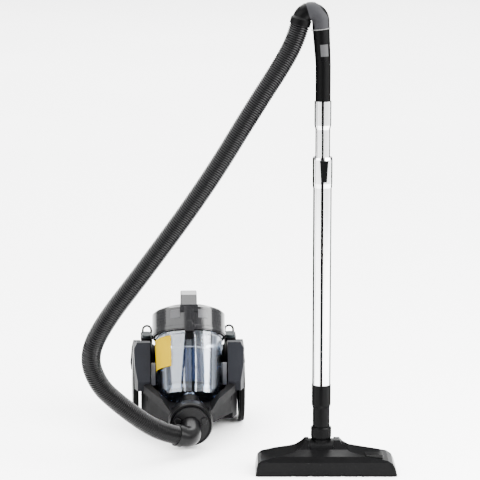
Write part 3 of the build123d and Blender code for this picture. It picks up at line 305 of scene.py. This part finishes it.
# Each slot's finish: what makes it, its colour or tint, and the rest that this takes
LOOKS = {
    "dark_casing": (moulded, (0.0018, 0.0018, 0.002), {"roughness": 0.5, "gloss": 0.025}),
    "wing_plastic": (moulded, (0.0062, 0.0066, 0.0082), {"roughness": 0.45, "gloss": 0.05}),
    "black_plastic": (moulded, (0.001, 0.001, 0.0011), {"roughness": 0.35, "gloss": 0.04}),
    "gloss_black": (
        moulded, (0.0018, 0.0018, 0.0019), {"roughness": 0.3, "grain": 0.05, "gloss": 0.045}
    ),
    "grey_plastic": (moulded, (0.012, 0.0125, 0.014), {"roughness": 0.42, "gloss": 0.1}),
    "teal_pedal": (moulded, (0.006, 0.0085, 0.0093), {"roughness": 0.4, "gloss": 0.07}),
    "clear_cup": (clear, (0.86, 0.89, 0.93), {"haze": 0.04}),
    "lid_gloss": (
        moulded, (0.006, 0.006, 0.0066), {"roughness": 0.16, "grain": 0.04, "gloss": 0.3}
    ),
    "blue_filter": (woven, (0.0005, 0.013, 0.05), {"scale": 1400, "depth": 0.0002}),
    "white_media": (woven, (0.8, 0.8, 0.78), {"scale": 1400, "depth": 0.0002}),
    "foam": (woven, (0.004, 0.004, 0.0044), {"scale": 900, "depth": 0.0006}),
    "seal_rubber": (moulded, (0.003, 0.003, 0.003), {"roughness": 0.65, "gloss": 0.05}),
    "tyre_rubber": (
        moulded, (0.002, 0.002, 0.002), {"roughness": 0.7, "grain": 0.5, "gloss": 0.04}
    ),
    "chrome_tube": (metal, (0.93, 0.93, 0.94), {"roughness": 0.05, "stretch": 0.02}),
    "pin_steel": (metal, (0.5, 0.5, 0.52), {"roughness": 0.25, "stretch": 1}),
    "motor_steel": (metal, (0.42, 0.43, 0.45), {"roughness": 0.3, "stretch": 1}),
    "hose_plastic": (
        moulded, (0.001, 0.001, 0.0011), {"roughness": 0.2, "grain": 0.12, "gloss": 0.11}
    ),
    "sticker": (
        moulded, (0.31, 0.205, 0.0002), {"roughness": 0.5, "grain": 0.05, "gloss": 0.005}
    ),
    "bristles": (moulded, (0.002, 0.002, 0.002), {"roughness": 0.7}),
}
finishes = {name: make(name, colour, **rest) for name, (make, colour, rest) in LOOKS.items()}

# Parts and details whose shade differs from the rest of their slot
elbow_black = moulded("elbow_black", (0.002, 0.002, 0.0021), roughness=0.3, gloss=0.1)
pad_grey = moulded("pad_grey", (0.013, 0.013, 0.0145), roughness=0.6, grain=0.5, gloss=0.08)
slider_grey = moulded("slider_grey", (0.028, 0.028, 0.029), roughness=0.5)
trim_grey = moulded("trim_grey", (0.08, 0.08, 0.08), roughness=0.4)
pale_plate = moulded("pale_plate", (0.2, 0.2, 0.21), roughness=0.4)
lid_edge = moulded("lid_edge", (0.022, 0.022, 0.024), roughness=0.3, grain=0.05, gloss=0.3)
own_finish = {
    "hose_elbow": elbow_black,
    "elbow_button_left": elbow_black,
    "elbow_button_right": elbow_black,
    "brush_pedal": elbow_black,
    "handle_pad": pad_grey,
    "suction_slider": slider_grey,
}

for part in frame["record"]["subparts"]:
    node = frame["nodes"][part["node"]]
    node.data.materials.clear()
    node.data.materials.append(own_finish.get(part["node"], finishes[part["material_slot"]]))

# ---------------------------------------------------------------- details
# Those on the cup and lid are placed in mm from the foot of the cup's axis
LID_WALL = 73.3             # just inside the lid's outer face
PAD_ANGLE = 22
VENT_ANGLE = 50
VENT_HEIGHT = 3.4
VENT_FEET = (132, 138, 144, 150, 156)
RIM = [(LID_WALL, 118), (75, 119), (75, 125), (LID_WALL, 126.5)]
LATCH = [(67.7, 97), (71.5, 99), (72.5, 112), (69.4, 113)]
piece(
    "lid_pads",
    [
        sector(CUP, raised(LID_WALL, 74.6, 140, 158, slope=1.2), side * PAD_ANGLE, half=7.8)
        for side in (-1, 1)
    ],
    lid_edge, LID,
)
piece(
    "lid_rim",
    [sector(CUP, RIM)],
    finishes["lid_gloss"], LID,
)
piece(
    "lid_vents",
    [
        sector(
            CUP, raised(LID_WALL, 74.4, low, low + VENT_HEIGHT, slope=0.8),
            side * VENT_ANGLE, half=11,
        )
        for side in (-1, 1)
        for low in VENT_FEET
    ],
    finishes["lid_gloss"], LID,
)
piece(
    "cup_latch",
    [sector(CUP, LATCH, half=6)],
    finishes["black_plastic"], "dust_cup_body",
)
piece(
    "filter_ring",
    [sector(CUP, raised(43.8, 45, 86.6, 89.1, slope=0.3))],
    pale_plate, LID,
)

# The pale plates beside the cup, in mm on the canister's axes
CHEEK_X = 71.8
CHEEK_Y = -68
CHEEK_Z = 113
CHEEK_SIZE = (8.6, 4, 46)
piece(
    "cheek_plates",
    [
        plate(CANISTER, (side * CHEEK_X, CHEEK_Y, CHEEK_Z), CHEEK_SIZE, edge=0.8)
        for side in (-1, 1)
    ],
    pale_plate, ROOT,
)

# A light line under the handle's pad, which leans with the handle
PAD_FOOT = Matrix.Translation((0.1115, -0.210, 0.8382)) @ Matrix.Rotation(radians(-6.5), 4, "Y")
piece(
    "pad_trim",
    [sector(PAD_FOOT, raised(16.6, 18.2, -1, 1, slope=0.3), half=84)],
    trim_grey, "wand_upper",
)

# Two rows of tufts, each row on a backing strip. Sizes are in mm.
strip_low, strip_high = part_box("brush_strip")
BACKING_WIDTH = 3.8
BACKING_HEIGHT = 2
TUFT_PITCH = 4.4
BRISTLES_IN_TUFT = 7
BRISTLE_R = 0.22
BRISTLE_SIDES = 5
TIP_SHARE = 0.55            # of the radius at its foot
FOOT_DEPTH = 1.5            # below the backing's top
FOOT_SPREAD = (1.1, 0.8)
TIP_SPREAD = 0.5
TIP_SHORTER = 0.4           # at most
draws = random.Random(7)


def turns(count):
    """The angles that share a circle evenly."""
    return [2 * pi * step / count for step in range(count)]


def bristle(foot, tip):
    """A rod that tapers from its foot to its tip."""
    rings = []
    for centre, size in ((foot, BRISTLE_R * MM), (tip, BRISTLE_R * MM * TIP_SHARE)):
        rings.append([
            (centre[0] + size * cos(turn), centre[1] + size * sin(turn), centre[2])
            for turn in turns(BRISTLE_SIDES)
        ])
    return skin(rings, capped=True)


def brush_rows():
    """The skins of both rows: a backing strip each, and its bristles."""
    made = []
    length = strip_high.x - strip_low.x
    tufts = round(length / MM / TUFT_PITCH) - 1
    inset = BACKING_WIDTH / 2 * MM
    for row_y in (strip_low.y + inset, strip_high.y - inset):
        made.append(plate(
            Matrix.Identity(4),
            (
                (strip_low.x + strip_high.x) / 2 / MM, row_y / MM,
                strip_high.z / MM - BACKING_HEIGHT / 2,
            ),
            (length / MM, BACKING_WIDTH, BACKING_HEIGHT), edge=0.4,
        ))
        for tuft in range(tufts):
            tuft_x = strip_low.x + (tuft + 1) * length / (tufts + 1)
            for _ in range(BRISTLES_IN_TUFT):
                foot_x = tuft_x + draws.uniform(-1, 1) * FOOT_SPREAD[0] * MM
                foot_y = row_y + draws.uniform(-1, 1) * FOOT_SPREAD[1] * MM
                tip_x = foot_x + draws.uniform(-1, 1) * TIP_SPREAD * MM
                tip_y = foot_y + draws.uniform(-1, 1) * TIP_SPREAD * MM
                low = strip_low.z + draws.uniform(0, TIP_SHORTER) * MM
                made.append(bristle(
                    (foot_x, foot_y, strip_high.z - FOOT_DEPTH * MM), (tip_x, tip_y, low)
                ))
    return made


brush_tufts = piece(
    "brush_tufts", brush_rows(), finishes["bristles"], "brush_strip_body"
)
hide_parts("brush_strip")

# ---------------------------------------------------------------- hose
# From the handle's cuff to the elbow's mouth: the corners that the CAD tube rounds off, and the
# control points of the smoother line that the ribs follow here
HOSE_ROUTE = [
    (0.0728, -0.2100, 0.8458),
    (0.0655, -0.2100, 0.8187),
    (0.0420, -0.2130, 0.7740),
    (-0.0080, -0.2190, 0.6980),
    (-0.0980, -0.2270, 0.5500),
    (-0.2180, -0.2295, 0.3850),
    (-0.2920, -0.2260, 0.2890),
    (-0.3240, -0.2140, 0.2210),
    (-0.3060, -0.1980, 0.1610),
    (-0.2680, -0.1810, 0.1200),
    (-0.2200, -0.1590, 0.0770),
    (-0.1870, -0.1400, 0.0540),
    (-0.1605, -0.1264, 0.0440),
]
HOSE_R = 0.0185
RIB_PITCH = 0.0043
RIB_DEPTH = 0.0016
RIB_ROWS = 6
RIB_SHARPNESS = 1.6         # above 1 the grooves are narrower than the ribs
TUBE_SIDES = 36


def spline_line(route):
    """The smooth line that has the route as its control points."""
    curve = bpy.data.curves.new("hose_line", "CURVE")
    curve.dimensions = "3D"
    spline = curve.splines.new("NURBS")
    spline.points.add(len(route) - 1)
    for control, point in zip(spline.points, route):
        control.co = (*point, 1)
    spline.order_u = 3
    spline.use_endpoint_u = True
    curve.resolution_u = 48
    holder = placed("hose_line", curve)
    bpy.context.view_layer.update()
    read = bpy.data.meshes.new_from_object(holder)
    line = [vertex.co.copy() for vertex in read.vertices]
    bpy.data.objects.remove(holder)
    bpy.data.meshes.remove(read)
    return line


def along(line, distances):
    """Points and directions on a line at growing distances from its start."""
    found = []
    step = 0
    passed = 0.0
    for distance in distances:
        run = line[step + 1] - line[step]
        while passed + run.length < distance and step < len(line) - 2:
            passed += run.length
            step += 1
            run = line[step + 1] - line[step]
        share = min(1, (distance - passed) / run.length)
        found.append((line[step].lerp(line[step + 1], share), run.normalized()))
    return found


def line_length(line):
    """The sum of a line's steps."""
    return sum((after - before).length for before, after in zip(line, line[1:]))


def corrugated_tube(line):
    """A tube of rounded ribs round a line, with no twist."""
    length = line_length(line)
    rows = round(length / RIB_PITCH) * RIB_ROWS
    places = along(line, [length * row / rows for row in range(rows + 1)])
    across = Vector((0, 1, 0))
    rings = []
    for row, (centre, direction) in enumerate(places):
        across = (across - across.dot(direction) * direction).normalized()
        up = direction.cross(across)
        groove = (0.5 - 0.5 * cos(2 * pi * row / RIB_ROWS)) ** RIB_SHARPNESS
        radius = HOSE_R - RIB_DEPTH * groove
        rings.append([
            centre + radius * (cos(turn) * across + sin(turn) * up) for turn in turns(TUBE_SIDES)
        ])
    return mesh_of("hose_ribbed", skin(rings))


hose_line = spline_line(HOSE_ROUTE)
hose_ribbed = placed("hose_ribbed", corrugated_tube(hose_line))
hose_ribbed.data.materials.append(finishes["hose_plastic"])
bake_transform(hose_ribbed)
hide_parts("hose")

# ---------------------------------------------------------------- studio
FLOOR_HALF = 20
FLAG_FOOT = 0.02
FLAG_TOP = 0.85
CUP_MIDDLE = (-0.14, 0.05, 0.2)


def quad(name, corners):
    """A mesh of one four-sided face."""
    mesh = bpy.data.meshes.new(name)
    mesh.from_pydata(corners, [], [(0, 1, 2, 3)])
    return mesh


def studio():
    """A pale floor and a bright surround."""
    floor = placed("floor", quad("floor", [
        (side * FLOOR_HALF, end * FLOOR_HALF, 0)
        for side, end in ((-1, -1), (1, -1), (1, 1), (-1, 1))
    ]))
    made, tree, shader, place = material_with("floor")
    tree.links.new(
        tinted(tree, noise(tree, place, scale=0.6), (0.86, 0.86, 0.86), (0.9, 0.9, 0.9)),
        shader.inputs["Base Color"],
    )
    shader.inputs["Roughness"].default_value = 0.8
    floor.data.materials.append(made)

    world = bpy.data.worlds.new("studio")
    world.use_nodes = True
    world.node_tree.nodes["Background"].inputs["Color"].default_value = (1, 1, 1, 1)
    world.node_tree.nodes["Background"].inputs["Strength"].default_value = 1.25
    bpy.context.scene.world = world


def softbox(name, place, aim, width, height, power):
    """A soft rectangular light that faces a point."""
    data = bpy.data.lights.new(name, "AREA")
    data.shape = "RECTANGLE"
    data.size = width
    data.size_y = height
    data.energy = power
    light = placed(name, data)
    light.location = place
    light.rotation_euler = (Vector(aim) - Vector(place)).to_track_quat("-Z", "Y").to_euler()


def flag(name, foot, end):
    """An upright black board near the wand that shows only in what is polished."""
    board = placed(name, quad(name, [
        (*foot, FLAG_FOOT), (*end, FLAG_FOOT), (*end, FLAG_TOP), (*foot, FLAG_TOP),
    ]))
    board.data.materials.append(flag_black)
    board.visible_camera = False
    board.visible_diffuse = False
    board.visible_transmission = False
    board.visible_volume_scatter = False
    board.visible_shadow = False


studio()
softbox("overhead", (0, 5, 6), (0, 5, 0), width=8, height=14, power=4600)
softbox("left_card", (-1.89, -1.20, 1.654), CUP_MIDDLE, width=3.0, height=1.5, power=128)
softbox("right_card", (1.79, -1.065, 1.54), CUP_MIDDLE, width=2.6, height=1.5, power=368)
flag_black = moulded("flag_black", (0.002, 0.002, 0.002), roughness=0.9, gloss=0)
flag("front_flag", (-0.012, -0.549), (0.196, -0.566))
flag("left_flag", (0, -0.185), (0.10, -0.095))
flag("right_flag", (0.2325, -0.179), (0.1765, -0.106))
